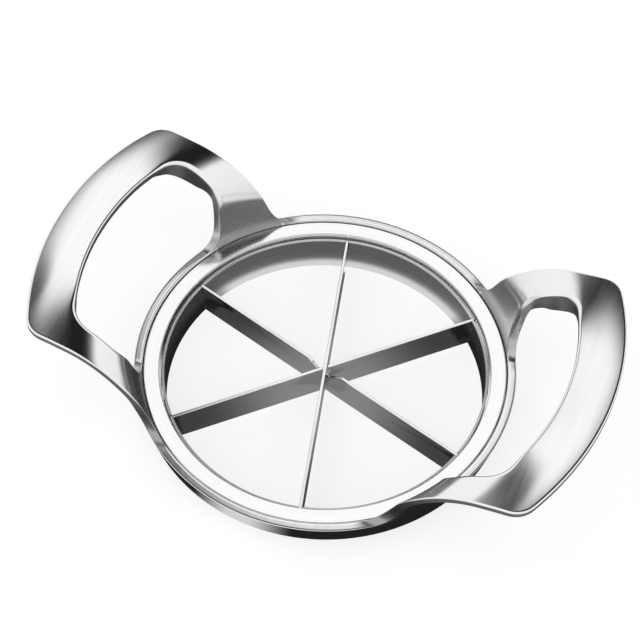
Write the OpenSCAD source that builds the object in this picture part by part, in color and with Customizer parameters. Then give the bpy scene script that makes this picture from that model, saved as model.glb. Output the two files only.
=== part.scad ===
// Two-handed push slicer with six openings between three crossed blades.
// A cast ring with two raised loop handles carries the blades in a steel band.
// The blades' end tabs lie in notches of the ring's seat, under a collar that is screwed on from below.
// The table is at z = 0, the ring stands about the Z axis and the handles lie along X.

/* [Cutting opening] */
// Clear diameter inside the band
opening_d = 98.2; // [90:0.2:110]
// Thickness of the band's rolled strip
band_t = 0.8; // [0.5:0.1:1.2]
// Height of the band, from the table to the backs of the blades
band_h = 13; // [12:0.5:18]

/* [Blades] */
// Thickness of a blade at its back
blade_t = 0.9; // [0.5:0.1:1.4]
// Height of the cutting edges above the table
edge_lift = 1; // [0.5:0.1:2.5]
// Height of the ground bevel above the cutting edge
bevel_h = 3.5; // [1:0.1:3.8]
// Width left at the cutting edge
edge_w = 0.12; // [0.06:0.02:0.3]
// Length of the tab at each end of a blade, past the band
tab_l = 2.6; // [1.5:0.1:3]
// Height of that tab
tab_h = 2.6; // [1.5:0.1:3.2]
// Angle of the first blade from the line through the handles
blade_clock = 45; // [0:1:59]
// Half length of the relief in the back of the lowest blade, where the others pass over it
relief_l = 6.5; // [3:0.5:10]

/* [Collar] */
// Width of the polished face of the collar
collar_w = 4.8; // [4.4:0.1:8]
// Least thickness of the collar, at its inner edge
collar_t = 2.4; // [2:0.1:4]
// Fall of the collar's face towards the opening, in degrees
collar_fall = 8.3; // [0:0.1:15]
// Height of the collar's inner edge above the band
collar_step = 1.3; // [0.5:0.1:3]
// Open width between the band and the collar
band_gap = 0.6; // [0.3:0.1:1]

/* [Ring] */
// Thickness of the ring's wall and of the handles
wall_t = 2.4; // [2:0.1:3.4]
// Outward lean of the wall from upright, in degrees
wall_lean = 12; // [4:0.5:16]
// Height of the rim above the collar's outer edge
rim_proud = 0.7; // [0.3:0.1:1.1]
// Width taken off each edge of the rim
rim_bevel = 0.7; // [0.3:0.1:0.9]
// Depth of the seat under the collar
seat_depth = 4.9; // [4.4:0.1:7]

/* [Handles] */
// Open width between the ring's rim and the grip
finger_room = 14.9; // [12:0.1:26]
// Width of the grip
grip_w = 13.6; // [10:0.1:20]
// Height of the grip's outer edge above the rim
handle_lift = 31; // [28:0.1:40]
// Rise of the grip's face towards its outer edge, in degrees
grip_rise = 9; // [3:0.5:14]
// Radius of the bend from the wall into the grip
crook_r = 20.5; // [15:0.1:23]
// Width across the two arms of a handle
handle_w = 86; // [78:0.2:92]
// Width of an arm
arm_w = 9.6; // [7:0.1:13]
// Radius of the handle's outer corners
corner_r = 7; // [2:0.5:9]
// Radius of the corners of the finger loop
loop_corner_r = 8; // [4:0.5:12]
// Radius where the outer edges of the arms run into the rim
root_r = 3; // [2:0.5:7]
// Radius where the finger loop's edges run into the rim
loop_root_r = 5; // [2:0.5:7]
// Width of the rib along the finger loop, under each arm
rib_w = 2.6; // [1.5:0.1:4]
// Depth of that rib under the bend
rib_depth = 8.2; // [4:0.1:9]
// Place of the rib's low corner round the bend, in degrees from the grip's outward direction
rib_angle = 122; // [118:1:135]

/* [Screws] */
// Thread diameter
screw_d = 2.5; // [2:0.1:2.6]
// Length of thread in the collar
thread_l = 1.4; // [0.8:0.1:1.6]
// Diameter of the head
head_d = 4.4; // [3.6:0.1:4.6]
// Height of the head
head_h = 1.5; // [1:0.1:1.9]
// Width across the flats of the head's hexagon socket
socket_w = 2; // [1.2:0.1:2.2]
// Depth of that socket
socket_depth = 0.8; // [0.4:0.1:1]

/* [Hidden] */
$fn = 64;

// Clearances
band_fit = 0.2;
blade_fit = 0.1;
tab_fit = 0.05;
collar_fit = 0.25;
screw_fit = 0.15;
thread_fit = 0.05;
head_fit = 0.3;
// Overlap of shapes that are joined into one solid, and reach of a cut past a face
lap = 1;

// Radii and heights of the band, the collar and the seat
band_ri = opening_d / 2;
band_ro = band_ri + band_t;
collar_ri = band_ro + band_gap;
collar_ro = collar_ri + collar_w;
seat_ri = band_ro + band_fit;
collar_inner_z = band_h + collar_step;
collar_outer_z = collar_inner_z + collar_w * tan(collar_fall);
seat_z = collar_inner_z - collar_t;
under_z = seat_z - seat_depth;

// The wall's two faces are cones
rim_z = collar_outer_z + rim_proud;
function wall_in(z) = collar_ro + collar_fit + (z - collar_outer_z) * tan(wall_lean);
function wall_out(z) = wall_in(z) + wall_t / cos(wall_lean);
wall_up = [sin(wall_lean), cos(wall_lean)];
wall_across = [cos(wall_lean), -sin(wall_lean)];
ring_r = wall_out(rim_z);

// The handle's section: the wall, a round bend and the rising grip
grip_ri = ring_r + finger_room;
reach_r = grip_ri + grip_w;
grip_z = rim_z + handle_lift;
grip_along = [cos(grip_rise), sin(grip_rise)];
grip_across = [sin(grip_rise), -cos(grip_rise)];
crook_turn = 90 - wall_lean - grip_rise;
crook_tangent = crook_r * tan(crook_turn / 2);
grip_line_z0 = grip_z - reach_r * tan(grip_rise);
crook_corner_r = (wall_in(0) + tan(wall_lean) * grip_line_z0) / (1 - tan(wall_lean) * tan(grip_rise));
crook_corner = [crook_corner_r, grip_line_z0 + crook_corner_r * tan(grip_rise)];
crook_start = crook_corner - crook_tangent * wall_up;
crook_end = crook_corner + crook_tangent * grip_along;
crook_centre = crook_start + crook_r * wall_across;
crook_steps = 16;
grip_run = (reach_r - crook_end.x) / grip_along.x + wall_t;

// The handle's outline from above
arm_y = handle_w / 2;
loop_y = arm_y - arm_w;
root_circle_r = wall_in(rim_z);

// The blades cross at equal angles and lie over one another in layers at the centre, the upper one first
blade_order = [1, 0, 2];
blade_pitch = 180 / len(blade_order);
blade_angles = [for (k = blade_order) blade_clock + blade_pitch * k];
layer_h = (band_h - edge_lift) / len(blade_order);
crossing_w = blade_t * (1 + cos(blade_pitch)) / sin(blade_pitch) + 2 * blade_fit;
tab_top_z = seat_z - tab_fit;
tab_foot_z = tab_top_z - tab_h;
tab_r = band_ro + tab_l;

// The screws stand midway between the blades' ends
screw_angles = [for (angle = blade_angles, half = [0, 180]) angle + half + blade_pitch / 2];
screw_circle_r = (seat_ri + wall_out(under_z)) / 2;
head_bore_d = head_d + 2 * head_fit;
head_seat_z = under_z + head_h + head_fit;
socket_sides = 6;
socket_corners = socket_w / cos(180 / socket_sides);

function direction(angle) = [cos(angle), sin(angle)];

// Copies of the children turned to each of the given angles
module turned(angles) {
    for (angle = angles)
        rotate(angle)
            children();
}

// Both mirror images of the children across the X axis
module both_arms() {
    children();
    mirror([0, 1])
        children();
}

// The children along +X, and again along -X
module both_handles() {
    children();
    rotate(180)
        children();
}

// A lobe along +X with a round end about the origin, straight sides and round corners
module lobe(reach, half_w, corner) {
    corner_x = sqrt(pow(reach - corner, 2) - pow(half_w - corner, 2));
    corner_angle = atan2(half_w - corner, corner_x);
    intersection() {
        circle(reach);
        polygon([
            [0, 0],
            2 * reach * direction(-corner_angle),
            [2 * reach, 0],
            2 * reach * direction(corner_angle)
        ]);
    }
    translate([0, -half_w])
        square([corner_x, 2 * half_w]);
    both_arms()
        translate([corner_x, half_w - corner])
            circle(corner);
}

// Filling of the corner where the straight edge at edge_y meets the root circle,
// hollowed by an arc of the given radius that lies above the edge (side = 1) or below it (side = -1)
module root_filling(edge_y, side, radius) {
    arc_y = edge_y + side * radius;
    arc_x = sqrt(pow(root_circle_r + radius, 2) - arc_y * arc_y);
    touch = [arc_x, arc_y] * root_circle_r / (root_circle_r + radius);
    corner_x = sqrt(root_circle_r * root_circle_r - edge_y * edge_y);
    difference() {
        polygon([
            [arc_x, arc_y],
            [arc_x, edge_y - side * lap],
            [corner_x, edge_y - side * lap],
            touch
        ]);
        translate([arc_x, arc_y])
            circle(radius);
    }
}

// Outline of the finger loop, open towards the middle of the ring
module finger_loop() {
    difference() {
        lobe(grip_ri, loop_y, loop_corner_r);
        both_arms()
            root_filling(loop_y, -1, loop_root_r);
    }
}

// Outline of one handle from above
module handle_outline() {
    difference() {
        union() {
            lobe(reach_r, arm_y, corner_r);
            both_arms()
                root_filling(arm_y, 1, root_r);
        }
        finger_loop();
    }
}

// Points on an arc about the bend's centre, from the wall up to the grip
function crook_arc(radius) = [
    for (step = [0:crook_steps])
        crook_centre + radius * direction(180 - wall_lean - crook_turn * step / crook_steps)
];

// Section of the frame: the seat, the leaning wall, the bend and the grip
module frame_section() {
    grip_end = crook_end + grip_run * grip_along;
    top = crook_arc(crook_r);
    polygon(concat(
        [[seat_ri, seat_z], [seat_ri, under_z], [wall_out(under_z), under_z]],
        crook_arc(crook_r - wall_t),
        [grip_end + wall_t * grip_across, grip_end],
        [for (k = [crook_steps:-1:0]) top[k]],
        [[wall_in(seat_z), seat_z]]
    ));
}

// Section of the rib: the bend, filled down to a low corner under it, and fading out at the grip
module rib_section() {
    inside = [for (point = crook_arc(crook_r - wall_t / 2)) if (point.x < grip_ri) point];
    rib_low = crook_centre + (crook_r - rib_depth) * direction(rib_angle);
    rib_end_z = crook_centre.y + sqrt(pow(crook_r - wall_t, 2) - pow(crook_centre.x - grip_ri, 2));
    polygon(concat(inside, [[grip_ri, rib_end_z], rib_low]));
}

// Section of the space above the rim, which takes the rim's two edges off
module above_rim_section() {
    low_z = rim_z - rim_bevel - lap;
    polygon([
        [wall_in(rim_z) - lap, low_z],
        [wall_in(rim_z) + rim_bevel, rim_z],
        [wall_out(rim_z) - rim_bevel, rim_z],
        [wall_out(rim_z) + lap, low_z],
        [reach_r + 2 * wall_t, low_z],
        [reach_r + 2 * wall_t, grip_z + wall_t],
        [wall_in(rim_z) - lap, grip_z + wall_t]
    ]);
}

// Cast ring with its two handles, notched for the blade tabs and bored for the screws
module frame() {
    color("gainsboro")
        difference() {
            union() {
                rotate_extrude()
                    frame_section();
                intersection() {
                    rotate_extrude()
                        rib_section();
                    linear_extrude(grip_z)
                        both_handles()
                            lobe(grip_ri + rib_w, loop_y + rib_w, loop_corner_r + rib_w);
                }
            }
            difference() {
                rotate_extrude()
                    above_rim_section();
                linear_extrude(grip_z + 2 * wall_t)
                    both_handles()
                        handle_outline();
            }
            turned([for (angle = blade_angles, half = [0, 180]) angle + half])
                translate([seat_ri - lap, -blade_t / 2 - blade_fit, tab_foot_z - tab_fit])
                    cube([tab_r + blade_fit - seat_ri + lap, blade_t + 2 * blade_fit, tab_h + lap]);
            turned(screw_angles)
                translate([screw_circle_r, 0, under_z - lap]) {
                    cylinder(d = head_bore_d, h = head_seat_z - under_z + lap);
                    cylinder(d = screw_d + 2 * screw_fit, h = seat_depth + 2 * lap);
                }
        }
}

// Polished collar ring, with blind threaded holes in its underside
module collar() {
    color("whitesmoke")
        difference() {
            rotate_extrude()
                polygon([
                    [collar_ri, seat_z],
                    [wall_in(seat_z) - collar_fit, seat_z],
                    [collar_ro, collar_outer_z],
                    [collar_ri, collar_inner_z]
                ]);
            turned(screw_angles)
                translate([screw_circle_r, 0, seat_z - lap])
                    cylinder(d = screw_d + 2 * thread_fit, h = thread_l + thread_fit + lap);
        }
}

// Steel band round the opening, slotted from its upper edge for the blades
module blade_band() {
    color("lightgray")
        difference() {
            cylinder(r = band_ro, h = band_h);
            translate([0, 0, -lap])
                cylinder(r = band_ri, h = band_h + 2 * lap);
            turned(blade_angles)
                translate([-band_ro - lap, -blade_t / 2 - blade_fit, tab_foot_z - tab_fit])
                    cube([2 * (band_ro + lap), blade_t + 2 * blade_fit, band_h]);
        }
}

// One blade on edge along X: its outline, ground to an edge below and slotted at the centre.
// layer counts from the top: 0 passes over the others and 2 passes under them.
module blade(layer) {
    body_r = band_ri - blade_fit;
    layer_top_z = band_h - layer * layer_h;
    layer_foot_z = layer_top_z - layer_h - blade_fit;
    end = [
        [body_r, edge_lift],
        [body_r, tab_foot_z],
        [tab_r, tab_foot_z],
        [tab_r, tab_top_z],
        [band_ro, tab_top_z],
        [band_ro, band_h]
    ];
    difference() {
        intersection() {
            rotate([90, 0, 0])
                linear_extrude(blade_t, center = true)
                    polygon(concat(end, [for (k = [len(end) - 1:-1:0]) [-end[k].x, end[k].y]]));
            rotate([90, 0, 90])
                linear_extrude(2 * tab_r + lap, center = true)
                    polygon([
                        [-edge_w / 2, edge_lift],
                        [edge_w / 2, edge_lift],
                        [blade_t / 2, edge_lift + bevel_h],
                        [blade_t / 2, band_h + lap],
                        [-blade_t / 2, band_h + lap],
                        [-blade_t / 2, edge_lift + bevel_h]
                    ]);
        }
        if (layer > 0)
            translate([-crossing_w / 2, -blade_t, layer_top_z])
                cube([crossing_w, 2 * blade_t, band_h]);
        if (layer < len(blade_order) - 1)
            translate([-crossing_w / 2, -blade_t, edge_lift - lap])
                cube([crossing_w, 2 * blade_t, layer_foot_z - edge_lift + lap]);
    }
}

// Blade that passes over the two others at the centre
module blade_upper() {
    color("silver")
        rotate(blade_angles[0])
            blade(0);
}

// Blade between the two others
module blade_middle() {
    color("silver")
        rotate(blade_angles[1])
            blade(1);
}

// Blade that passes under the two others, with a flared relief in its back
module blade_lower() {
    color("silver")
        rotate(blade_angles[2])
            difference() {
                blade(2);
                rotate([90, 0, 0])
                    linear_extrude(2 * blade_t, center = true)
                        polygon([
                            [-relief_l, band_h],
                            [-crossing_w / 2, band_h - layer_h],
                            [crossing_w / 2, band_h - layer_h],
                            [relief_l, band_h],
                            [relief_l, band_h + lap],
                            [-relief_l, band_h + lap]
                        ]);
            }
}

// Socket-head screws that draw the collar down on the seat
module collar_screws() {
    color("dimgray")
        turned(screw_angles)
            translate([screw_circle_r, 0, head_seat_z])
                difference() {
                    union() {
                        translate([0, 0, -head_h])
                            cylinder(d = head_d, h = head_h);
                        cylinder(d = screw_d, h = seat_z - head_seat_z + thread_l);
                    }
                    translate([0, 0, -head_h - lap])
                        cylinder(d = socket_corners, h = socket_depth + lap, $fn = socket_sides);
                }
}

frame();
collar();
blade_band();
blade_upper();
blade_middle();
blade_lower();
collar_screws();
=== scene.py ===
import bisect
import math

import bmesh
import bpy
from mathutils import Matrix, Vector


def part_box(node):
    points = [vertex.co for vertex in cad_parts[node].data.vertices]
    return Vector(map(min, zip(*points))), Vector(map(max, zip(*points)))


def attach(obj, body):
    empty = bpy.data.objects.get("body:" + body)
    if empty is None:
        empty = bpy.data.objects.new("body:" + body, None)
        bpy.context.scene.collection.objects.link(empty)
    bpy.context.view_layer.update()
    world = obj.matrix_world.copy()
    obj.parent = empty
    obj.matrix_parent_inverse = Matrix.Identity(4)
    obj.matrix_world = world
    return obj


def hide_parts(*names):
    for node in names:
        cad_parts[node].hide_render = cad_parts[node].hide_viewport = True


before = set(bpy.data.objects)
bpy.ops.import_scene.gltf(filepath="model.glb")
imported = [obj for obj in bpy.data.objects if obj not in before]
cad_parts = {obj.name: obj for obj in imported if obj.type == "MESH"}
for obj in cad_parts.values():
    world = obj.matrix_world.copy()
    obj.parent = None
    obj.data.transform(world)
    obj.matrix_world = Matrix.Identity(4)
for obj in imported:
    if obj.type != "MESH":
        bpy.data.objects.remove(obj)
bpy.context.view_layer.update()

# The frame: a ring with two raised loop handles, cast in one piece, polished and bright plated.
# Its wall leans out from the seat, and at the handles it climbs on, bends over and ends in a flat grip.
# The mould parts upwards, so the handles' edges stand upright, and buffing has rounded them all.
MM = 0.001
frame_low, frame_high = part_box("frame")
collar_low, collar_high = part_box("collar")
band_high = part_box("blade_band")[1]

wall_t = 2.4 * MM
wall_lean = math.radians(12)
collar_fit = 0.25 * MM
rim_proud = 0.7 * MM
seat_fit = 0.2 * MM
finger_room = 14.9 * MM
grip_w = 13.6 * MM
grip_rise = math.radians(9)
bend_r = 20.5 * MM
arm_y = 43 * MM
arm_w = 9.6 * MM
corner_r = 7 * MM
loop_corner_r = 8 * MM
root_r = 3 * MM
loop_root_r = 5 * MM
root_l, root_h = 6 * MM, 6 * MM
rib_w = 2.6 * MM
rib_low_x, rib_low_z = 57 * MM, 33 * MM
rib_end_x, rib_end_z = 68.4 * MM, 42 * MM
rib_slope = 0.4
# What buffing does to the handles: it levels the grips and rolls their outer edges off, and it takes them
# down towards the corners and arches them from end to end.
level_by = math.radians(3.5)
level_w, level_fade = 15.6 * MM, 7 * MM
roll_w = 7 * MM
roll_drop = 0.32 * MM
sag_x, sag_l, sag_drop = 86.3 * MM, 20 * MM, 1.05 * MM
sag_y0, sag_y1 = 17 * MM, 45 * MM
arch_y, arch_l, arch_drop = 10 * MM, 30 * MM, 0.92 * MM
bend_y0, bend_y1 = 22 * MM, 34 * MM
crown_rise = 26 * MM

rim_round = 0.3 * MM
outer_round = 0.6 * MM
loop_round = 0.55 * MM
loop_arm_round = 1.4 * MM
under_round = 0.6 * MM
wall_guard = 0.5 * MM

loop_y = arm_y - arm_w
seat_r = band_high.x + seat_fit
seat_z = collar_low.z
under_z = frame_low.z
rim_z = collar_high.z + rim_proud
rim = Vector((collar_high.x + collar_fit + rim_proud * math.tan(wall_lean), rim_z))
ring_r = rim.x + wall_t / math.cos(wall_lean)
grip_r = ring_r + finger_room
reach_r = grip_r + grip_w


def polar(angle, radius=1.0):
    """Vector of that length in that direction, in a plane."""
    return Vector((radius * math.cos(angle), radius * math.sin(angle)))


# The section's upper face: up the wall from the rim, round the bend and out along the grip.
# A distance along it, counted from the rim, and an angle about the ring's axis give a place on the frame.
wall_along = polar(math.pi / 2 - wall_lean)
grip_along = polar(grip_rise)
grip_edge = Vector((reach_r, frame_high.z))
bend_turn = math.pi / 2 - wall_lean - grip_rise
corner_up = ((grip_edge - rim).x * grip_along.y - (grip_edge - rim).y * grip_along.x) / (
    wall_along.x * grip_along.y - wall_along.y * grip_along.x)
bend_s0 = corner_up - bend_r * math.tan(bend_turn / 2)
bend_s1 = bend_s0 + bend_r * bend_turn
bend_start = rim + bend_s0 * wall_along
bend_angle = math.pi - wall_lean
bend_centre = bend_start - polar(bend_angle, bend_r)
bend_end = bend_centre + polar(bend_angle - bend_turn, bend_r)


def section(s, depth):
    """Radius and height of the frame at s along the section, that depth below its upper face."""
    if s < bend_s0:
        return rim + s * wall_along - depth * polar(bend_angle)
    if s < bend_s1:
        return bend_centre + polar(bend_angle - (s - bend_s0) / bend_r, bend_r - depth)
    return bend_end + (s - bend_s1) * grip_along - depth * polar(bend_angle - bend_turn)


def section_s(radius, depth):
    """The distance along the section at which that depth lies at the radius."""
    if radius < section(bend_s0, depth).x:
        return (radius - section(0, depth).x) / wall_along.x
    if radius < section(bend_s1, depth).x:
        angle = math.acos((radius - bend_centre.x) / (bend_r - depth))
        return bend_s0 + bend_r * (bend_angle - angle)
    return bend_s1 + (radius - section(bend_s1, depth).x) / grip_along.x


def section_s_at_rim(depth):
    """The distance along the section of the rim's flat top at that depth."""
    return depth * math.tan(wall_lean)


def eased(value, low, high):
    """0 below the low end, 1 above the high end and a smooth rise between."""
    share = min(max((value - low) / (high - low), 0), 1)
    return share * share * (3 - 2 * share)


def crowned(x, y, s):
    """How far the buffed handle lies below its plain section. The grip is rather more level and stays flat
    to its inner edge, its outer edge rolls off, and both sag towards the corners and along the arms."""
    x, y = abs(x), abs(y)
    radius = math.hypot(x, y)
    inset = max(reach_r - radius, 0)
    faded = min(max(inset - level_w + level_fade, 0), 2 * level_fade)
    level = math.tan(level_by) * (min(inset, level_w + level_fade) - faded ** 2 / (4 * level_fade))
    flat = max(bend_end.x - radius, 0) ** 2 / (2 * bend_r) * (1 - eased(y, bend_y0, bend_y1))
    roll = roll_drop * max(1 - inset / roll_w, 0) ** 2
    sag = sag_drop * (max(sag_x - x, 0) / sag_l) ** 2 * eased(y, sag_y0, sag_y1)
    arch = arch_drop * (max(y - arch_y, 0) / arch_l) ** 2
    return (roll + sag + arch - level - flat) * eased(s, 0, crown_rise)


def place(angle, s, depth):
    """The point of the frame at an angle about its axis and a distance along its section."""
    at = section(s, depth)
    x, y = at.x * math.cos(angle), at.x * math.sin(angle)
    return Vector((x, y, at.y - crowned(x, y, s)))


root_steps, arm_steps = 16, 40


def arc(centre, radius, start, stop):
    """Points about every degree along an arc seen from above."""
    steps = max(2, round(abs(math.degrees(stop - start))))
    return [centre + polar(start + (stop - start) * k / steps, radius) for k in range(steps + 1)]


def edge_line(depth, reach, half_w, corner, root, side):
    """One edge of a quarter of the frame seen from above, cut where it leaves the rim: the rim and the first
    of the curve up from it, then the rest of the curve, the arm, the corner and half the grip.
    side is -1 for the finger loop's edge and 1 for the outer edge."""
    rim_s = section_s_at_rim(depth)
    rim_r = section(rim_s, depth).x
    root_y = half_w + side * root
    root_at = Vector((math.sqrt((rim_r + root) ** 2 - root_y ** 2), root_y))
    corner_y = half_w - corner
    corner_at = Vector((math.sqrt((reach - corner) ** 2 - corner_y ** 2), corner_y))
    corner_turn = math.atan2(corner_at.y, corner_at.x)
    arm = arc(root_at, root, math.atan2(root_at.y, root_at.x) + math.pi, math.pi * (1 + side / 2))
    arm_end = Vector((corner_at.x, half_w))
    arm += [arm[-1].lerp(arm_end, k / arm_steps) for k in range(1, arm_steps)]
    while section_s(arm[1].length, depth) < rim_s + root_h:
        arm.pop(0)
    (low_angle, low_s), (top_angle, top_s) = [
        (math.atan2(at.y, at.x), section_s(at.length, depth)) for at in arm[:2]]
    meet = top_angle - (top_angle - low_angle) / (top_s - low_s) * (top_s - rim_s)
    start = meet + side * root_l / rim_r
    climb = []
    for k in range(2 * root_steps + 1):
        share = k / (2 * root_steps)
        angle = start * (1 - share) ** 2 + 2 * meet * share * (1 - share) + top_angle * share ** 2
        climb.append(polar(angle, section(rim_s + (top_s - rim_s) * share ** 2, depth).x))
    origin = Vector((0, 0))
    ring_part = arc(origin, rim_r, math.pi / 4 * (1 + side), start) + climb[1:root_steps + 1]
    handle_part = climb[root_steps:] + arm[2:]
    handle_part += arc(corner_at, corner, math.pi / 2, corner_turn)
    handle_part += arc(origin, reach, corner_turn, 0)[1:]
    return ring_part, handle_part


def measured(points, depth):
    """The (angle, s) places along an edge seen from above, and the distance run along it to each."""
    places = [(math.atan2(p.y, p.x), section_s(p.length, depth)) for p in points]
    solid = [place(angle, s, depth) for angle, s in places]
    run = [0.0]
    for a, b in zip(solid, solid[1:]):
        run.append(run[-1] + (b - a).length)
    return places, run


def sampled(places, run, targets):
    """The places at those distances along a measured edge."""
    found = []
    for target in targets:
        k = max(1, min(bisect.bisect_left(run, target), len(run) - 1))
        share = (target - run[k - 1]) / (run[k] - run[k - 1])
        found.append(tuple(a + (b - a) * share for a, b in zip(places[k - 1], places[k])))
    return found


def spaced(run, count):
    """Distances that divide a measured edge into that many equal steps."""
    return [run[-1] * k / count for k in range(count + 1)]


def below(tops, points, run):
    """For each place of the upper edge, the distance along the lower edge to the point under it."""
    found = []
    for angle, s in tops:
        spot = polar(angle, section(s, 0).x)
        choices = []
        for k in range(len(points) - 1):
            a, b = points[k], points[k + 1]
            share = min(max((spot - a).dot(b - a) / (b - a).length_squared, 0), 1)
            choices.append(((a.lerp(b, share) - spot).length, run[k] + (run[k + 1] - run[k]) * share))
        found.append(min(choices)[1])
    return found


def inward(stations, depth, side):
    """For each station of an edge, its direction into the metal as (round the axis, along the section)."""
    found = []
    for k, (angle, s) in enumerate(stations):
        before, after = stations[max(k - 1, 0)], stations[min(k + 1, len(stations) - 1)]
        radius = section(s, depth).x
        step = Vector((radius * (after[0] - before[0]), after[1] - before[1]))
        if k in (0, len(stations) - 1):
            step.y = 0
        step.normalize()
        found.append(side * Vector((-step.y, step.x)))
    return found


def shifted(station, direction, distance, depth):
    """The place at that distance from an edge's station, over the face of that depth."""
    angle, s = station
    return angle + distance * direction.x / section(s, depth).x, s + distance * direction.y


loop_steps, outer_steps, handle_steps = 44, 60, 96
round_steps = 6
upright_from = (0.08, 0.3)
# Where the rows of points lie, as shares of the way across a handle and down the ring's wall.
across = [0, 0.03, 0.08, 0.15, 0.23, 0.32, 0.41, 0.5, 0.59, 0.68, 0.77, 0.85, 0.92, 0.97, 1]
down = [0.0, 0.06, 0.3, 0.65, 1.0]


def rib_foot(point):
    """A point of the underside by the finger loop, lowered to the foot of the rib where there is one.
    Seen from the side, the foot climbs slowly along the arm and then swings up under the grip."""
    past_low = (abs(point.x) - rib_low_x) / (rib_end_x - rib_low_x)
    if past_low < 0:
        foot = rib_low_z - rib_slope * (rib_low_x - abs(point.x))
    else:
        foot = rib_low_z + (rib_end_z - rib_low_z) * past_low ** 2
    return Vector((point.x, point.y, min(point.z, foot)))


def rounding(corner, first, second, radius):
    """Points round a corner, from the first direction out of it to the second."""
    turns = [math.pi / 2 * k / round_steps for k in range(round_steps + 1)]
    return [
        corner + radius * ((1 - math.sin(t)) * first + (1 - math.cos(t)) * second)
        for t in turns
    ]


def edge_rows(reach, half_w, corner, root, side, ring_steps, grip_round, arm_round):
    """The rows of points over a rounded edge, one row for each station, and the places where the
    upper and under faces begin. The rim is rounded least and the arms may be rounded most."""
    lines = []
    for depth in (0.0, wall_t):
        ring_part, handle_part = edge_line(depth, reach, half_w, corner, root, side)
        places, run = measured(ring_part, depth)
        stations = sampled(places, run, spaced(run, ring_steps))
        places, run = measured(handle_part, depth)
        targets = spaced(run, handle_steps)
        if depth > 0:
            upright = below(lines[0][0][ring_steps:], handle_part, run)
            shares = [eased(k / handle_steps, *upright_from) for k in range(handle_steps + 1)]
            targets = [a + (b - a) * share for a, b, share in zip(targets, upright, shares)]
        stations += sampled(places, run, targets)[1:]
        lines.append((stations, inward(stations, depth, side)))
    (tops, top_in), (unders, under_in) = lines
    rows, top_places, under_places = [], [], []
    for top, t_in, under, u_in in zip(tops, top_in, unders, under_in):
        crest = place(*top, 0)
        raised = eased(top[1], 0, crown_rise)
        handle_round = grip_round + (arm_round - grip_round) * eased(crest.y, bend_y0, bend_y1)
        top_round = rim_round + (handle_round - rim_round) * raised
        foot_round = rim_round + (under_round - rim_round) * raised
        under_reach = rib_w if side < 0 else foot_round
        top_places.append(shifted(top, t_in, top_round, 0))
        under_places.append(shifted(under, u_in, under_reach, wall_t))
        face = (place(*top_places[-1], 0) - crest).normalized()
        root_point = place(*under_places[-1], wall_t)
        if side < 0:
            foot = rib_foot(place(*under, wall_t))
            inner_foot = Vector((root_point.x, root_point.y, min(root_point.z, foot.z)))
        else:
            foot, inner_foot = place(*under, wall_t), root_point
        drop = (foot - crest).normalized()
        sole = (inner_foot - foot).normalized()
        guard = min(wall_guard, ((foot - crest).length - top_round - foot_round) / 3) * drop
        row = rounding(crest, face, drop, top_round)
        row[0] = place(*top_places[-1], 0)
        lower = rounding(foot, sole, -drop, foot_round)[::-1]
        row += [row[-1] + guard, lower[0] - guard] + lower
        if side < 0:
            rise = (root_point - inner_foot).length
            turn = min(foot_round, rise / 2)
            row += rounding(inner_foot, -sole, Vector((0, 0, 1)), turn)
            row.append(root_point)
        else:
            row[-1] = root_point
        rows.append(row)
    return rows, top_places, under_places


shape = bmesh.new()


def grid(rows):
    """Faces over rows of points, in order."""
    made = [[shape.verts.new(point) for point in row] for row in rows]
    for a, b in zip(made, made[1:]):
        for k in range(len(a) - 1):
            shape.faces.new((a[k], a[k + 1], b[k + 1], b[k]))


loop_rows, loop_top, loop_under = edge_rows(
    grip_r, loop_y, loop_corner_r, loop_root_r, -1, loop_steps, loop_round, loop_arm_round)
outer_rows, outer_top, outer_under = edge_rows(
    reach_r, arm_y, corner_r, root_r, 1, outer_steps, outer_round, outer_round)
grid(loop_rows)
grid(outer_rows)


def between(a, b, share):
    """A place part of the way from one place to another."""
    return tuple(p + (q - p) * share for p, q in zip(a, b))


base_s = ((seat_z - rim_z) / wall_along.y, (under_z - rim_z + wall_t * wall_along.x) / wall_along.y)
columns = []
both_faces = zip((0.0, wall_t), (loop_top, loop_under), (outer_top, outer_under), base_s)
for depth, inner, outer, base in both_faces:
    handle = [
        [between(a, b, share) for share in across]
        for a, b in zip(inner[loop_steps:], outer[outer_steps:])
    ]
    grid([[place(*spot, depth) for spot in row] for row in handle])
    heads = inner[:loop_steps] + handle[0] + outer[outer_steps - 1::-1]
    foot_s = base if depth == 0 else base + under_round
    grid([[place(*between(spot, (spot[0], foot_s), share), depth) for share in down] for spot in heads])
    columns.append([spot[0] for spot in heads])

seat_rows = []
wall_foot = section(base_s[1], wall_t)
skirt = rounding(wall_foot, wall_along, Vector((-1, 0)), under_round)
seat_line = [Vector((section(base_s[0], 0).x, seat_z)), Vector((seat_r, seat_z)), Vector((seat_r, under_z))]
for inner_angle, outer_angle in zip(*columns):
    row = [(inner_angle, at) for at in seat_line[:2]]
    row += [(outer_angle, at) for at in seat_line[2:] + skirt[::-1]]
    seat_rows.append([Vector((at.x * math.cos(t), at.x * math.sin(t), at.y)) for t, at in row])
grid(seat_rows)

weld = 0.002 * MM
for turn in (Matrix.Scale(-1, 4, (0, 1, 0)), Matrix.Scale(-1, 4, (1, 0, 0))):
    copied = bmesh.ops.duplicate(shape, geom=shape.verts[:] + shape.faces[:])["geom"]
    bmesh.ops.transform(shape, matrix=turn, verts=[g for g in copied if isinstance(g, bmesh.types.BMVert)])
bmesh.ops.remove_doubles(shape, verts=shape.verts, dist=weld)
bmesh.ops.dissolve_degenerate(shape, edges=shape.edges, dist=weld)
bmesh.ops.recalc_face_normals(shape, faces=shape.faces)
cast_mesh = bpy.data.meshes.new("cast_frame")
shape.to_mesh(cast_mesh)
shape.free()


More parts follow.
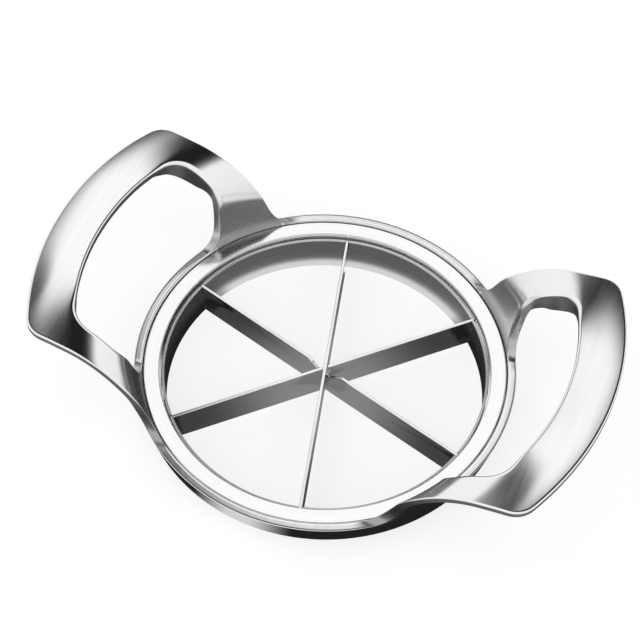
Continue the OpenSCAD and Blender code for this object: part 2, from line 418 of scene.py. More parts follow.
def shown(name, mesh):
    """An object of that mesh in the scene."""
    piece = bpy.data.objects.new(name, mesh)
    bpy.context.scene.collection.objects.link(piece)
    return piece


def add_node(tree, kind, inputs=None, **settings):
    """A node with its settings, and its inputs set to values or linked from other nodes' sockets."""
    node = tree.nodes.new(kind)
    for name, value in settings.items():
        setattr(node, name, value)
    for name, value in (inputs or {}).items():
        if isinstance(value, bpy.types.NodeSocket):
            tree.links.new(value, node.inputs[name])
        else:
            node.inputs[name].default_value = value
    return node


def new_tree(name, sockets):
    """An empty geometry tree with the named inputs, and the sockets that give them."""
    tree = bpy.data.node_groups.new(name, "GeometryNodeTree")
    tree.interface.new_socket("Geometry", in_out="OUTPUT", socket_type="NodeSocketGeometry")
    for label, kind in sockets.items():
        tree.interface.new_socket(label, in_out="INPUT", socket_type="NodeSocket" + kind)
    return tree, tree.nodes.new("NodeGroupInput").outputs


crease_angle = math.radians(40)


def as_mesh(piece, crease=crease_angle):
    """The piece with its modifiers worked into its mesh, smooth apart from edges sharper than the crease."""
    bpy.context.view_layer.update()
    made = bpy.data.meshes.new_from_object(piece.evaluated_get(bpy.context.evaluated_depsgraph_get()))
    made.polygons.foreach_set("use_smooth", [True] * len(made.polygons))
    made.set_sharp_from_angle(angle=crease)
    while made.materials and made.materials[0] is None:
        made.materials.pop(index=0)
    piece.modifiers.clear()
    piece.data = made
    return piece


def grown(name, tree, values, crease=crease_angle):
    """A piece made by a geometry tree, with the tree's inputs set to the values of those names."""
    piece = shown(name, bpy.data.meshes.new(name))
    modifier = piece.modifiers.new("form", "NODES")
    modifier.node_group = tree
    for item in tree.interface.items_tree:
        if item.in_out == "INPUT" and values.get(item.name) is not None:
            modifier[item.identifier] = values[item.name]
    return as_mesh(piece, crease)


# What comes round the ring six times: one piece, turned about the ring's axis in equal steps.
six_round, given = new_tree("six_round", {
    "Piece": "Object", "Count": "Int", "First angle": "Float", "Finish": "Material"})
one_piece = add_node(six_round, "GeometryNodeObjectInfo", {"Object": given["Piece"]})
spots = add_node(six_round, "GeometryNodePoints", {"Count": given["Count"]})
step_turn = add_node(six_round, "ShaderNodeMath", {0: 2 * math.pi, 1: given["Count"]}, operation="DIVIDE")
spot_turn = add_node(six_round, "ShaderNodeMath", {
    0: add_node(six_round, "GeometryNodeInputIndex").outputs[0],
    1: step_turn.outputs[0],
    2: given["First angle"]}, operation="MULTIPLY_ADD")
turn_about_axis = add_node(six_round, "ShaderNodeCombineXYZ", {"Z": spot_turn.outputs[0]})
copies = add_node(six_round, "GeometryNodeInstanceOnPoints", {
    "Points": spots.outputs[0],
    "Instance": one_piece.outputs["Geometry"],
    "Rotation": turn_about_axis.outputs[0]})
real_copies = add_node(six_round, "GeometryNodeRealizeInstances", {"Geometry": copies.outputs[0]})
finished = add_node(six_round, "GeometryNodeSetMaterial", {
    "Geometry": real_copies.outputs[0], "Material": given["Finish"]})
add_node(six_round, "NodeGroupOutput", {"Geometry": finished.outputs[0]})


def lathe(outline, steps, offset=0.0):
    """A closed mesh turned from an outline of (radius, height) points, with its axis that far along X."""
    turned = bmesh.new()
    points = [turned.verts.new((radius, 0, height)) for radius, height in outline]
    edges = [turned.edges.new(pair) for pair in zip(points, points[1:])]
    bmesh.ops.spin(
        turned, geom=points + edges, axis=(0, 0, 1), cent=(0, 0, 0), angle=2 * math.pi, steps=steps)
    bmesh.ops.remove_doubles(turned, verts=turned.verts, dist=weld)
    bmesh.ops.recalc_face_normals(turned, faces=turned.faces)
    bmesh.ops.translate(turned, vec=(offset, 0, 0), verts=turned.verts)
    mesh = bpy.data.meshes.new("turned")
    turned.to_mesh(mesh)
    turned.free()
    return mesh


def block(low, high):
    """A closed block between two corners."""
    cube = bmesh.new()
    stretch = Matrix.Diagonal((*(high - low), 1))
    bmesh.ops.create_cube(cube, size=1, matrix=Matrix.Translation((low + high) / 2) @ stretch)
    mesh = bpy.data.meshes.new("block")
    cube.to_mesh(mesh)
    cube.free()
    return mesh


times_round = 6
turn_steps = 40


def cutters(mesh, first_angle):
    """Six cutters of that mesh, round the ring."""
    one = shown("one_cutter", mesh)
    six = grown("cutters", six_round, {"Piece": one, "Count": times_round, "First angle": first_angle})
    bpy.data.objects.remove(one)
    return six


def cut(piece, tools):
    """Cuts the tools' shapes out of the piece and puts the tools away."""
    for tool in tools:
        modifier = piece.modifiers.new("cut", "BOOLEAN")
        modifier.object = tool
        modifier.solver = "EXACT"
    as_mesh(piece)
    for tool in tools:
        bpy.data.objects.remove(tool)


# Notches in the seat for the tabs of the blades, and stepped holes for the screws from below.
past = 1 * MM
blade_angle = math.radians(45)
slot_w = 1.1 * MM
tab_low = 9.2 * MM
notch_r = 52.6 * MM
screw_past_blade = math.radians(30)
screw_angle = blade_angle + screw_past_blade
screw_r = (seat_r + wall_foot.x) / 2
head_bore_r, head_bore_h = 2.5 * MM, 1.8 * MM
head_seat_z = under_z + head_bore_h
bore_r = 1.4 * MM
notch = block(Vector((seat_r - past, -slot_w / 2, tab_low)), Vector((notch_r, slot_w / 2, seat_z + past)))
screw_hole = lathe([
    (0, under_z - past), (head_bore_r, under_z - past), (head_bore_r, head_seat_z),
    (bore_r, head_seat_z), (bore_r, seat_z + past), (0, seat_z + past)], turn_steps, screw_r)
cast_frame = shown("cast_frame", cast_mesh)
cut(cast_frame, [cutters(notch, blade_angle), cutters(screw_hole, screw_angle)])


def linear(hex_colour):
    """The linear colour of an sRGB hex value."""
    parts = [int(hex_colour[k:k + 2], 16) / 255 for k in (1, 3, 5)]
    return [p / 12.92 if p <= 0.04045 else ((p + 0.055) / 1.055) ** 2.4 for p in parts] + [1]


def metal(name, hex_colour):
    """A new metal of that colour, with its node tree and its shader."""
    made = bpy.data.materials.new(name)
    made.use_nodes = True
    found = made.node_tree.nodes["Principled BSDF"]
    found.inputs["Base Color"].default_value = linear(hex_colour)
    found.inputs["Metallic"].default_value = 1
    return made, made.node_tree, found


# Where the buffing wheel does not reach, in the loops' walls and under the handles, the plate stays satin,
# and its colour is darkened there as painted shade.
# It reaches only half as well into the crooks where the arms stand up from the ring, and less and less the
# higher the arms' outer walls climb towards the grips; the crooks get the rougher plate and the painted
# shade too.
inside_edge = 1.2 * MM
outward_share = 0.9
upright_facing, level_facing = 0.1, 0.6
crook_satin_and_shade, fold_satin_and_shade, fold_h = 0.45, 0.4, 5 * MM
crook_from, crook_to, crook_fade = math.radians(23), math.radians(59), math.radians(6)
# One mask both roughens the plate and paints shade into its colour.
unbuffed_and_shaded = cast_frame.data.attributes.new("unbuffed_and_shaded", "FLOAT", "POINT")
for vertex in cast_frame.data.vertices:
    at, facing = vertex.co, vertex.normal
    if at.z < rim_z - rim_round:
        continue
    raised = eased(at.z, rim_z, rim_z + crown_rise)
    outward = facing.xy.dot(at.xy)
    upper_face = abs(at.y) > loop_y and outward < 0
    outer_edge = reach_r - at.xy.length < inside_edge or arm_y - abs(at.y) < inside_edge
    satin_and_shade_share = 0
    if outward > outward_share * at.xy.length and not outer_edge:
        satin_and_shade_share = raised
    elif upper_face or at.xy.length < ring_r + inside_edge:
        turn = math.atan2(abs(at.y), abs(at.x))
        entered = eased(turn, crook_from, crook_from + crook_fade)
        passed = eased(turn, crook_to - crook_fade, crook_to)
        crook = crook_satin_and_shade * (1 - raised)
        fold = fold_satin_and_shade * (1 - eased(at.z, rim_z, rim_z + fold_h))
        satin_and_shade_share = entered * (1 - passed) * (crook + fold)
    elif not outer_edge:
        satin_and_shade_share = 1 - eased(facing.z, upright_facing, level_facing)
    unbuffed_and_shaded.data[vertex.index].value = satin_and_shade_share

# Bright chrome plate on a buffed casting: a near mirror, a little cool. The wheel leaves a slow waviness in
# it and wiping leaves hairlines, drawn coarser than they are, that only show at the edges of the highlights.
plate_white = "#F0F0F1"
wave_w, wave_h = 20 * MM, 0.012 * MM
hair_l, hair_w = 40 * MM, 1.5 * MM
peel_w, peel_h = 1.2 * MM, 0.006 * MM
noise_span = {"From Min": 0.3, "From Max": 0.7}
chrome, tree, shader = metal("chrome_plate_buffed", plate_white)
spot = add_node(tree, "ShaderNodeTexCoord").outputs["Object"]
waviness = add_node(tree, "ShaderNodeTexNoise", {"Vector": spot, "Scale": 1 / wave_w, "Detail": 1})
wiped = add_node(tree, "ShaderNodeMapping", {
    "Vector": spot, "Scale": (1 / hair_w, 1 / hair_l, 1 / hair_w)})
hairlines = add_node(tree, "ShaderNodeTexNoise", {"Vector": wiped.outputs[0], "Scale": 1, "Detail": 2})
peel = add_node(tree, "ShaderNodeTexNoise", {"Vector": spot, "Scale": 1 / peel_w, "Detail": 1})
satin_and_shade = add_node(tree, "ShaderNodeAttribute", attribute_name="unbuffed_and_shaded").outputs["Fac"]
bright_rough = add_node(tree, "ShaderNodeMapRange", {
    "Value": hairlines.outputs["Fac"], **noise_span, "To Min": 0.12, "To Max": 0.15})
satin_rough = add_node(tree, "ShaderNodeMapRange", {
    "Value": peel.outputs["Fac"], **noise_span, "To Min": 0.36, "To Max": 0.48})
roughness = add_node(tree, "ShaderNodeMix", {
    "Factor": satin_and_shade, "A": bright_rough.outputs[0], "B": satin_rough.outputs[0]})
satin_peel = add_node(tree, "ShaderNodeMath", {0: peel.outputs["Fac"], 1: satin_and_shade}, operation="MULTIPLY")
wave_bump = add_node(tree, "ShaderNodeBump", {
    "Height": waviness.outputs["Fac"], "Strength": 1, "Distance": wave_h})
peel_bump = add_node(tree, "ShaderNodeBump", {
    "Height": satin_peel.outputs[0], "Strength": 1, "Distance": peel_h, "Normal": wave_bump.outputs[0]})
# Painted shade: where the mask is high, the plate's colour falls to a mid grey in the loops, crooks and
# undersides.
plate_colour_with_painted_shade = add_node(tree, "ShaderNodeMix", {
    "Factor": satin_and_shade, "A": linear(plate_white), "B": linear("#939395")}, data_type="RGBA")
tree.links.new(plate_colour_with_painted_shade.outputs["Result"], shader.inputs["Base Color"])
tree.links.new(roughness.outputs[0], shader.inputs["Roughness"])
tree.links.new(peel_bump.outputs[0], shader.inputs["Normal"])
cast_frame.data.materials.append(chrome)

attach(cast_frame, "root")
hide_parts("frame")

# The band: a strip of stainless steel rolled into a hoop and welded end to end, standing on the table.
# Six slots cut down from its upper edge take the blades, whose ends are spot welded in them.
ring_segments, ring_round_steps = 288, 4
ring_crease = math.radians(5)
turned_ring, given = new_tree("turned_ring", {
    "Radius": "Float", "Foot": "Vector", "Top": "Vector", "Outer top": "Vector", "Outer foot": "Vector",
    "Edge round": "Float", "Segments": "Int", "Cuts": "Object", "Finish": "Material"})
corners = add_node(turned_ring, "GeometryNodeCurvePrimitiveQuadrilateral", {
    "Point 1": given["Foot"], "Point 2": given["Top"],
    "Point 3": given["Outer top"], "Point 4": given["Outer foot"]}, mode="POINTS")
rounded = add_node(turned_ring, "GeometryNodeFilletCurve", {
    "Curve": corners.outputs[0], "Radius": given["Edge round"], "Count": ring_round_steps}, mode="POLY")
path = add_node(turned_ring, "GeometryNodeCurvePrimitiveCircle", {
    "Radius": given["Radius"], "Resolution": given["Segments"]})
swept = add_node(turned_ring, "GeometryNodeCurveToMesh", {
    "Curve": path.outputs[0], "Profile Curve": rounded.outputs[0]})
tool = add_node(turned_ring, "GeometryNodeObjectInfo", {"Object": given["Cuts"]})
left = add_node(turned_ring, "GeometryNodeMeshBoolean", {
    "Mesh 1": swept.outputs[0], "Mesh 2": tool.outputs["Geometry"]}, operation="DIFFERENCE", solver="EXACT")
real_ring = add_node(turned_ring, "GeometryNodeRealizeInstances", {"Geometry": left.outputs[0]})
finished = add_node(turned_ring, "GeometryNodeSetMaterial", {
    "Geometry": real_ring.outputs[0], "Material": given["Finish"]})
add_node(turned_ring, "NodeGroupOutput", {"Geometry": finished.outputs[0]})


def ring_piece(name, outline, edge_round, tools, finish):
    """A ring turned from an outline of four (radius, height) corners, less what the tools cut from it.
    The sweep lays the outline's second axis downwards, so the heights change sign."""
    path_r = outline[0][0]
    spots = [(radius - path_r, -height, 0) for radius, height in outline]
    piece = grown(name, turned_ring, {
        "Radius": path_r, "Foot": spots[0], "Top": spots[1], "Outer top": spots[2], "Outer foot": spots[3],
        "Edge round": edge_round, "Segments": ring_segments, "Cuts": tools, "Finish": finish}, ring_crease)
    bpy.data.objects.remove(tools)
    return piece


band_t = 0.8 * MM
band_r = band_high.x
band_h = band_high.z
band_round = 0.15 * MM

# Cold-rolled stainless strip, brushed round the hoop: greyer than the chrome, and its lines, drawn coarser
# than they are, run round the band and draw the reflections out up and down.
brush_l, brush_w, brush_h = 25 * MM, 0.3 * MM, 0.003 * MM
band_steel, tree, shader = metal("stainless_strip_brushed", "#D2D3D5")
spot = add_node(tree, "ShaderNodeSeparateXYZ", {
    "Vector": add_node(tree, "ShaderNodeTexCoord").outputs["Object"]}).outputs
around = add_node(tree, "ShaderNodeMath", {0: spot["Y"], 1: spot["X"]}, operation="ARCTAN2")
unrolled = add_node(tree, "ShaderNodeCombineXYZ", {"X": around.outputs[0], "Y": spot["Z"]})
brushed = add_node(tree, "ShaderNodeMapping", {
    "Vector": unrolled.outputs[0], "Scale": (band_r / brush_l, 1 / brush_w, 1)})
lines = add_node(tree, "ShaderNodeTexNoise", {"Vector": brushed.outputs[0], "Scale": 1, "Detail": 3})
roughness = add_node(tree, "ShaderNodeMapRange", {
    "Value": lines.outputs["Fac"], **noise_span, "To Min": 0.16, "To Max": 0.3})
brush_bump = add_node(tree, "ShaderNodeBump", {
    "Height": lines.outputs["Fac"], "Strength": 1, "Distance": brush_h})
tree.links.new(roughness.outputs[0], shader.inputs["Roughness"])
tree.links.new(brush_bump.outputs[0], shader.inputs["Normal"])

slot = block(
    Vector((band_r - band_t - past, -slot_w / 2, tab_low)),
    Vector((band_r + past, slot_w / 2, band_h + past)))
steel_band = ring_piece("steel_band", [
    (band_r - band_t, 0), (band_r - band_t, band_h), (band_r, band_h), (band_r, 0)],
    band_round, cutters(slot, blade_angle), band_steel)
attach(steel_band, "root")
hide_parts("blade_band")

# The blades: three strips of stainless blade stock, ground to an edge below and slotted half through so
# that they lap over one another at the centre. A tab at each end lies in a notch of the ring's seat.
back_chamfer = 0.12 * MM
ground_z = 4.5 * MM
flat_within, sharp_over = math.radians(0.5), math.radians(60)

# Bright-rolled blade stock: fine rolling lines along the blade, and below them the duller bevel, ground
# across towards the edge. Both patterns are drawn coarser than they are.
rolled_l, rolled_w = 25 * MM, 0.3 * MM
ground_l, ground_w = 5 * MM, 0.35 * MM
line_h = 0.001 * MM
bevel_fade = 0.1 * MM
blade_steel, tree, shader = metal("stainless_blade_ground", "#E6E6E7")
face_spot = add_node(tree, "ShaderNodeUVMap", uv_map="blade_face").outputs[0]
rolled = add_node(tree, "ShaderNodeMapping", {
    "Vector": face_spot, "Scale": (1 / rolled_l, 1 / rolled_w, 1)})
rolled_lines = add_node(tree, "ShaderNodeTexNoise", {"Vector": rolled.outputs[0], "Scale": 1, "Detail": 2})
ground = add_node(tree, "ShaderNodeMapping", {
    "Vector": face_spot, "Scale": (1 / ground_w, 1 / ground_l, 1)})
ground_lines = add_node(tree, "ShaderNodeTexNoise", {"Vector": ground.outputs[0], "Scale": 1, "Detail": 2})
above_bevel = add_node(tree, "ShaderNodeMapRange", {
    "Value": add_node(tree, "ShaderNodeSeparateXYZ", {"Vector": face_spot}).outputs["Y"],
    "From Min": ground_z - bevel_fade, "From Max": ground_z + bevel_fade})
bevel_rough = add_node(tree, "ShaderNodeMapRange", {
    "Value": ground_lines.outputs["Fac"], **noise_span, "To Min": 0.24, "To Max": 0.38})
face_rough = add_node(tree, "ShaderNodeMapRange", {
    "Value": rolled_lines.outputs["Fac"], **noise_span, "To Min": 0.08, "To Max": 0.15})
roughness = add_node(tree, "ShaderNodeMix", {
    "Factor": above_bevel.outputs[0], "A": bevel_rough.outputs[0], "B": face_rough.outputs[0]})
heights = add_node(tree, "ShaderNodeMix", {
    "Factor": above_bevel.outputs[0], "A": ground_lines.outputs["Fac"], "B": rolled_lines.outputs["Fac"]})
line_bump = add_node(tree, "ShaderNodeBump", {
    "Height": heights.outputs[0], "Strength": 1, "Distance": line_h})
tree.links.new(roughness.outputs[0], shader.inputs["Roughness"])
tree.links.new(line_bump.outputs[0], shader.inputs["Normal"])

for layer, turn in (("upper", 60), ("middle", 0), ("lower", 120)):
    plate = bmesh.new()
    plate.from_mesh(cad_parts["blade_" + layer].data)
    bmesh.ops.remove_doubles(plate, verts=plate.verts, dist=weld)
    bmesh.ops.dissolve_limit(plate, angle_limit=flat_within, verts=plate.verts, edges=plate.edges)
    backs = [
        edge for edge in plate.edges
        if min(v.co.z for v in edge.verts) > ground_z + weld and edge.calc_face_angle(0) > sharp_over]
    bmesh.ops.bevel(
        plate, geom=backs, offset=back_chamfer, segments=1, affect="EDGES", clamp_overlap=True)
    along = polar(blade_angle + math.radians(turn))
    face_map = plate.loops.layers.uv.new("blade_face")
    for face in plate.faces:
        for loop in face.loops:
            loop[face_map].uv = (loop.vert.co.xy.dot(along), loop.vert.co.z)
    blade_mesh = bpy.data.meshes.new("ground_blade_" + layer)
    plate.to_mesh(blade_mesh)
    plate.free()
    blade_mesh.materials.clear()
    blade_mesh.materials.append(blade_steel)
    ground_blade = as_mesh(shown("ground_blade_" + layer, blade_mesh))
    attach(ground_blade, "root")
    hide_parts("blade_" + layer)

# The collar: a ring turned from bar and bright plated, whose face falls slightly towards the opening.
# It presses the blades' tabs into their notches, and hides them and the gap round the band.
collar_fall = 0.25 * MM
collar_round = 0.3 * MM
collar_r = 50.5 * MM
thread_bore_r = 1.3 * MM
thread_l = 1.4 * MM
thread_fit = 0.05 * MM
thread_end_z = seat_z + thread_l + thread_fit
seat_wall = section(base_s[0], 0).x
thread_hole = lathe([
    (0, seat_z - past), (thread_bore_r, seat_z - past), (thread_bore_r, thread_end_z), (0, thread_end_z)],
    turn_steps, screw_r)

# Bright chrome plate on a turned ring: the lathe's rings show through the plate as faint circles round the
# opening, drawn coarser than they are.
circle_w, circle_h = 0.35 * MM, 0.001 * MM
collar_chrome, tree, shader = metal("chrome_plate_turned", plate_white)
spot = add_node(tree, "ShaderNodeTexCoord").outputs["Object"]
flat_spot = add_node(tree, "ShaderNodeVectorMath", {0: spot, 1: (1, 1, 0)}, operation="MULTIPLY")
radius = add_node(tree, "ShaderNodeVectorMath", {0: flat_spot.outputs[0]}, operation="LENGTH")
circles = add_node(tree, "ShaderNodeTexNoise", {
    "W": radius.outputs["Value"], "Scale": 1 / circle_w, "Detail": 1}, noise_dimensions="1D")
roughness = add_node(tree, "ShaderNodeMapRange", {
    "Value": circles.outputs["Fac"], **noise_span, "To Min": 0.08, "To Max": 0.16})
turning_bump = add_node(tree, "ShaderNodeBump", {
    "Height": circles.outputs["Fac"], "Strength": 1, "Distance": circle_h})
tree.links.new(roughness.outputs[0], shader.inputs["Roughness"])
tree.links.new(turning_bump.outputs[0], shader.inputs["Normal"])

polished_collar = ring_piece("polished_collar", [
    (collar_r, seat_z), (collar_r, collar_high.z - collar_fall),
    (collar_high.x, collar_high.z), (seat_wall - collar_fit, seat_z)],
    collar_round, cutters(thread_hole, screw_angle), collar_chrome)
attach(polished_collar, "root")
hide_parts("collar")

# The screws: six small socket-head screws of plain stainless steel, put in from under the ring.
# They reach up through the seat into blind threaded holes and draw the collar down on the blades.
head_r = 2.2 * MM
head_h = 1.5 * MM
head_chamfer = 0.2 * MM
shank_r = 1.25 * MM
thread_depth = 0.22 * MM
thread_pitch = 0.45 * MM
socket_sides, socket_half_w = 6, 1 * MM
socket_r = socket_half_w / math.cos(math.pi / socket_sides)
socket_depth = 0.8 * MM
foot_z = head_seat_z - head_h
tip_z = seat_z + thread_l
outline = [
    (0, foot_z), (head_r - head_chamfer, foot_z), (head_r, foot_z + head_chamfer),
    (head_r, head_seat_z - head_chamfer / 2), (head_r - head_chamfer / 2, head_seat_z),
    (shank_r, head_seat_z)]
thread_count = int((tip_z - head_seat_z) / thread_pitch)
for k in range(thread_count):
    crest_z = head_seat_z + (k + 0.5) * thread_pitch
    outline += [(shank_r, crest_z), (shank_r - thread_depth, crest_z + thread_pitch / 2)]
outline += [(shank_r - thread_depth, tip_z), (0, tip_z)]

# Plain stainless steel as it leaves the machine: a dull grey with tool marks round the heads and shanks.
mark_l, mark_w, mark_h = 1.5 * MM, 0.2 * MM, 0.004 * MM
screw_steel, tree, shader = metal("stainless_machined", "#B4B4B5")
spot = add_node(tree, "ShaderNodeTexCoord").outputs["Object"]
marked = add_node(tree, "ShaderNodeMapping", {
    "Vector": spot, "Scale": (1 / mark_l, 1 / mark_l, 1 / mark_w)})
marks = add_node(tree, "ShaderNodeTexNoise", {"Vector": marked.outputs[0], "Scale": 1, "Detail": 2})
roughness = add_node(tree, "ShaderNodeMapRange", {
    "Value": marks.outputs["Fac"], **noise_span, "To Min": 0.26, "To Max": 0.4})
mark_bump = add_node(tree, "ShaderNodeBump", {
    "Height": marks.outputs["Fac"], "Strength": 1, "Distance": mark_h})
tree.links.new(roughness.outputs[0], shader.inputs["Roughness"])
tree.links.new(mark_bump.outputs[0], shader.inputs["Normal"])

one_screw = shown("one_screw", lathe(outline, turn_steps, screw_r))
socket = shown("socket", lathe([
    (0, foot_z - past), (socket_r, foot_z - past), (socket_r, foot_z + socket_depth),
    (0, foot_z + socket_depth)], socket_sides, screw_r))
cut(one_screw, [socket])
socket_screws = grown("socket_screws", six_round, {
    "Piece": one_screw, "Count": times_round, "First angle": screw_angle, "Finish": screw_steel})
bpy.data.objects.remove(one_screw)
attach(socket_screws, "root")
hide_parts("collar_screws")

# The studio: a pale paper floor in a white tent, with a softbox and its dark stand in a dark gap overhead.
# A glowing disc lies on the floor round the slicer and paints reflections into the metal: dark round it as
# painted shade, with a white painted highlight gap before it and one behind it. Inside the band it is dim,
# with a white strip along the far side as a painted reflection. Only reflections show the disc.
floor_half, floor_t, floor_drop = 3, 0.02, 0.05 * MM
floor_white = 0.74
floor = shown("floor", block(
    Vector((-floor_half, -floor_half, -floor_t)), Vector((floor_half, floor_half, -floor_drop))))
paper = bpy.data.materials.new("paper_floor_matt")
paper.use_nodes = True
tree = paper.node_tree
tree.nodes.clear()
sight = add_node(tree, "ShaderNodeLightPath")
seen = add_node(tree, "ShaderNodeMath", {
    0: sight.outputs["Is Camera Ray"], 1: sight.outputs["Is Glossy Ray"]}, operation="MAXIMUM")
seen = add_node(tree, "ShaderNodeMath", {
    0: seen.outputs[0], 1: sight.outputs["Is Transmission Ray"]}, operation="MAXIMUM")
floor_glow = add_node(tree, "ShaderNodeMath", {
    0: seen.outputs[0], 1: floor_white}, operation="MULTIPLY")
matt = add_node(tree, "ShaderNodeBsdfDiffuse", {"Color": linear("#A5A5A5")})
glow = add_node(tree, "ShaderNodeEmission", {"Strength": floor_glow.outputs[0]})
both = add_node(tree, "ShaderNodeAddShader", {0: matt.outputs[0], 1: glow.outputs[0]})
add_node(tree, "ShaderNodeOutputMaterial", {"Surface": both.outputs[0]})
floor.data.materials.append(paper)

flag_z = 0.3 * MM
flag_inner_r = 46.5 * MM
flag_gap_r = 50 * MM
gap_fade, inner_fade = 0.5 * MM, 1 * MM
flag_dim_r, flag_pale_r = 42 * MM, 10 * MM
flag_near_r, flag_far_r, flag_outer_r = 61 * MM, 82 * MM, 260 * MM
# Levels are brightness to the eye, which the power turns into light.
# Levels of the painted reflections: the dark ones are painted shade, the white ones painted highlights.
flag_dark, flag_shade, flag_far, flag_dim, flag_pale, flag_white = 0.15, 0.28, 0.4, 0.41, 0.56, 1
white_gap_level = 0.85
white_gap_at = math.radians(-95.5)
white_gap_in, white_gap_out = math.radians(3), math.radians(18)
far_side_at = math.radians(105)
far_side_in, far_side_out = math.radians(46), math.radians(60)
eye_power = 2.2
flag_segments = 128
flag_disc = bmesh.new()
bmesh.ops.create_circle(flag_disc, cap_ends=True, segments=flag_segments, radius=flag_outer_r)
bmesh.ops.translate(flag_disc, vec=(0, 0, flag_z), verts=flag_disc.verts)
flag_mesh = bpy.data.meshes.new("black_flag")
flag_disc.to_mesh(flag_mesh)
flag_disc.free()
flag = shown("black_flag", flag_mesh)
flag.visible_camera = False
flag.visible_diffuse = False
flag.visible_shadow = False
# The disc's colour is painted reflection: it glows, lights nothing and shows only in the metal.
painted_reflection_card = bpy.data.materials.new("painted_reflection_glow")
painted_reflection_card.use_nodes = True
tree = painted_reflection_card.node_tree
tree.nodes.clear()
spot = add_node(tree, "ShaderNodeTexCoord").outputs["Object"]
flat_spot = add_node(tree, "ShaderNodeVectorMath", {0: spot, 1: (1, 1, 0)}, operation="MULTIPLY")
radius = add_node(tree, "ShaderNodeVectorMath", {
    0: flat_spot.outputs[0]}, operation="LENGTH").outputs["Value"]
spot_parts = add_node(tree, "ShaderNodeSeparateXYZ", {"Vector": spot}).outputs
around = add_node(tree, "ShaderNodeMath", {0: spot_parts["Y"], 1: spot_parts["X"]}, operation="ARCTAN2")
twice_round = add_node(tree, "ShaderNodeMath", {
    0: around.outputs[0], 1: 2, 2: -2 * white_gap_at}, operation="MULTIPLY_ADD")
gap_wave = add_node(tree, "ShaderNodeMath", {0: twice_round.outputs[0]}, operation="COSINE").outputs[0]
off_far_side = add_node(tree, "ShaderNodeMath", {
    0: around.outputs[0], 1: far_side_at}, operation="SUBTRACT")
far_wave = add_node(tree, "ShaderNodeMath", {0: off_far_side.outputs[0]}, operation="COSINE")
far_share = add_node(tree, "ShaderNodeMapRange", {
    "Value": far_wave.outputs[0], "From Min": math.cos(far_side_out), "From Max": math.cos(far_side_in)})
foot_level, dim_level = [
    add_node(tree, "ShaderNodeMix", {"Factor": far_share.outputs[0], "A": sides, "B": far_side}).outputs[0]
    for sides, far_side in ((flag_dark, flag_white), (flag_shade, flag_dim))]
grey = flag_white
for value, low, high, level, fade in (
        (radius, flag_outer_r, flag_far_r, flag_far, "SMOOTHSTEP"),
        (radius, flag_far_r, flag_near_r, flag_dark, "SMOOTHSTEP"),
        (gap_wave, math.cos(2 * white_gap_out), math.cos(2 * white_gap_in), white_gap_level, "LINEAR"),
        (radius, flag_gap_r + gap_fade, flag_gap_r - gap_fade, foot_level, "SMOOTHSTEP"),
        (radius, flag_inner_r + inner_fade, flag_inner_r - inner_fade, dim_level, "SMOOTHSTEP"),
        (radius, flag_dim_r, flag_pale_r, flag_pale, "SMOOTHSTEP")):
    share = add_node(tree, "ShaderNodeMapRange", {
        "Value": value, "From Min": low, "From Max": high}, interpolation_type=fade)
    grey = add_node(tree, "ShaderNodeMix", {"Factor": share.outputs[0], "A": grey, "B": level}).outputs[0]
painted_reflection_light = add_node(tree, "ShaderNodeMath", {0: grey, 1: eye_power}, operation="POWER")
glow = add_node(tree, "ShaderNodeEmission", {"Strength": painted_reflection_light.outputs[0]})
add_node(tree, "ShaderNodeOutputMaterial", {"Surface": glow.outputs[0]})
flag.data.materials.append(painted_reflection_card)

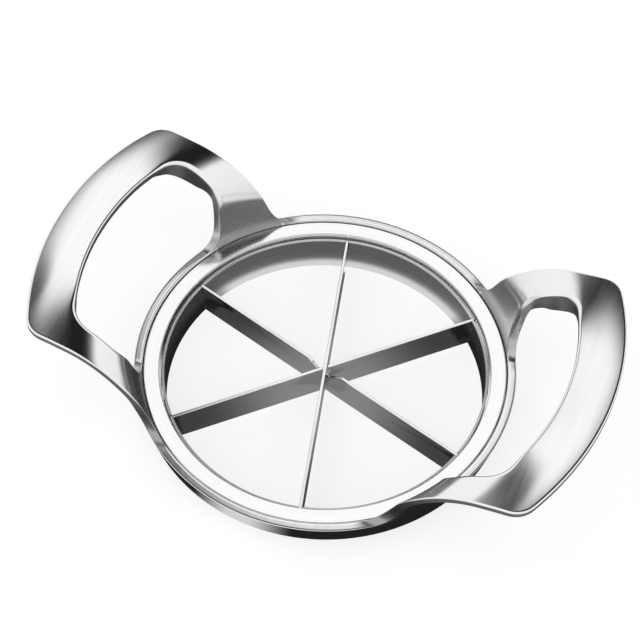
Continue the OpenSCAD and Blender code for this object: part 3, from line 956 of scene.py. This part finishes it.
# The camera has a long lens and stands in front of the slicer, high up and a little to the right.
camera_data = bpy.data.cameras.new("camera")
camera = bpy.data.objects.new("camera", camera_data)
bpy.context.scene.collection.objects.link(camera)
bpy.context.scene.camera = camera
camera_aside, camera_raised, camera_off = -1.57 * MM, 14.39 * MM, 511.31 * MM
lens, sensor_w = 94.08, 36
azimuth, elevation, roll = math.radians(22.45), math.radians(54.36), math.radians(1.19)
back = Vector((
    math.sin(azimuth) * math.cos(elevation), -math.cos(azimuth) * math.cos(elevation), math.sin(elevation)))
right = Vector((math.cos(azimuth), math.sin(azimuth), 0))
up = back.cross(right)
turned_right = math.cos(roll) * right + math.sin(roll) * up
turned_up = math.cos(roll) * up - math.sin(roll) * right
aim = Vector((0, 0, band_high.z))
camera.location = aim + camera_aside * turned_right + camera_raised * turned_up + camera_off * back
camera.rotation_mode = "QUATERNION"
camera.rotation_quaternion = Matrix((turned_right, turned_up, back)).transposed().to_quaternion()
camera_data.sensor_width = sensor_w
camera_data.lens = lens


def toward(aside, away):
    """Direction that many degrees off the zenith, to the camera's right and away from it."""
    tilt = math.radians(math.hypot(aside, away))
    level = (aside * right + away * Vector((-right.y, right.x, 0))).normalized()
    return math.sin(tilt) * level + Vector((0, 0, math.cos(tilt)))


world = bpy.data.worlds.new("tent")
bpy.context.scene.world = world
world.use_nodes = True
tree = world.node_tree
tree.nodes.clear()
tent_white, gap_dark, corner_dark, box_white, stand_dark = 1, 0.13, 0.08, 1.07, 0.25
# Each patch of the tent: where it lies, the degrees within which it is full and those at which it ends,
# and its brightness to the eye.
tent_patches = (
    (toward(14.6, 24.4), 17, 39, gap_dark),
    (toward(1, 46.5), 3, 9, corner_dark),
    (toward(0.6, 34), 3.5, 12.5, box_white),
    (toward(-7.4, 30.8), 1, 5.2, stand_dark))
facing = add_node(tree, "ShaderNodeTexCoord").outputs["Generated"]
light_level = tent_white
for centre, inner, outer, level in tent_patches:
    nearness = add_node(tree, "ShaderNodeVectorMath", {0: facing, 1: centre}, operation="DOT_PRODUCT")
    share = add_node(tree, "ShaderNodeMapRange", {
        "Value": nearness.outputs["Value"],
        "From Min": math.cos(math.radians(outer)), "From Max": math.cos(math.radians(inner))},
        interpolation_type="SMOOTHSTEP")
    light_level = add_node(tree, "ShaderNodeMix", {
        "Factor": share.outputs[0], "A": light_level, "B": level}).outputs[0]
light = add_node(tree, "ShaderNodeMath", {0: light_level, 1: eye_power}, operation="POWER")
tent = add_node(tree, "ShaderNodeBackground", {"Color": linear("#FFFFFF"), "Strength": light.outputs[0]})
add_node(tree, "ShaderNodeOutputWorld", {"Surface": tent.outputs[0]})
bpy.context.scene.view_settings.view_transform = "Standard"
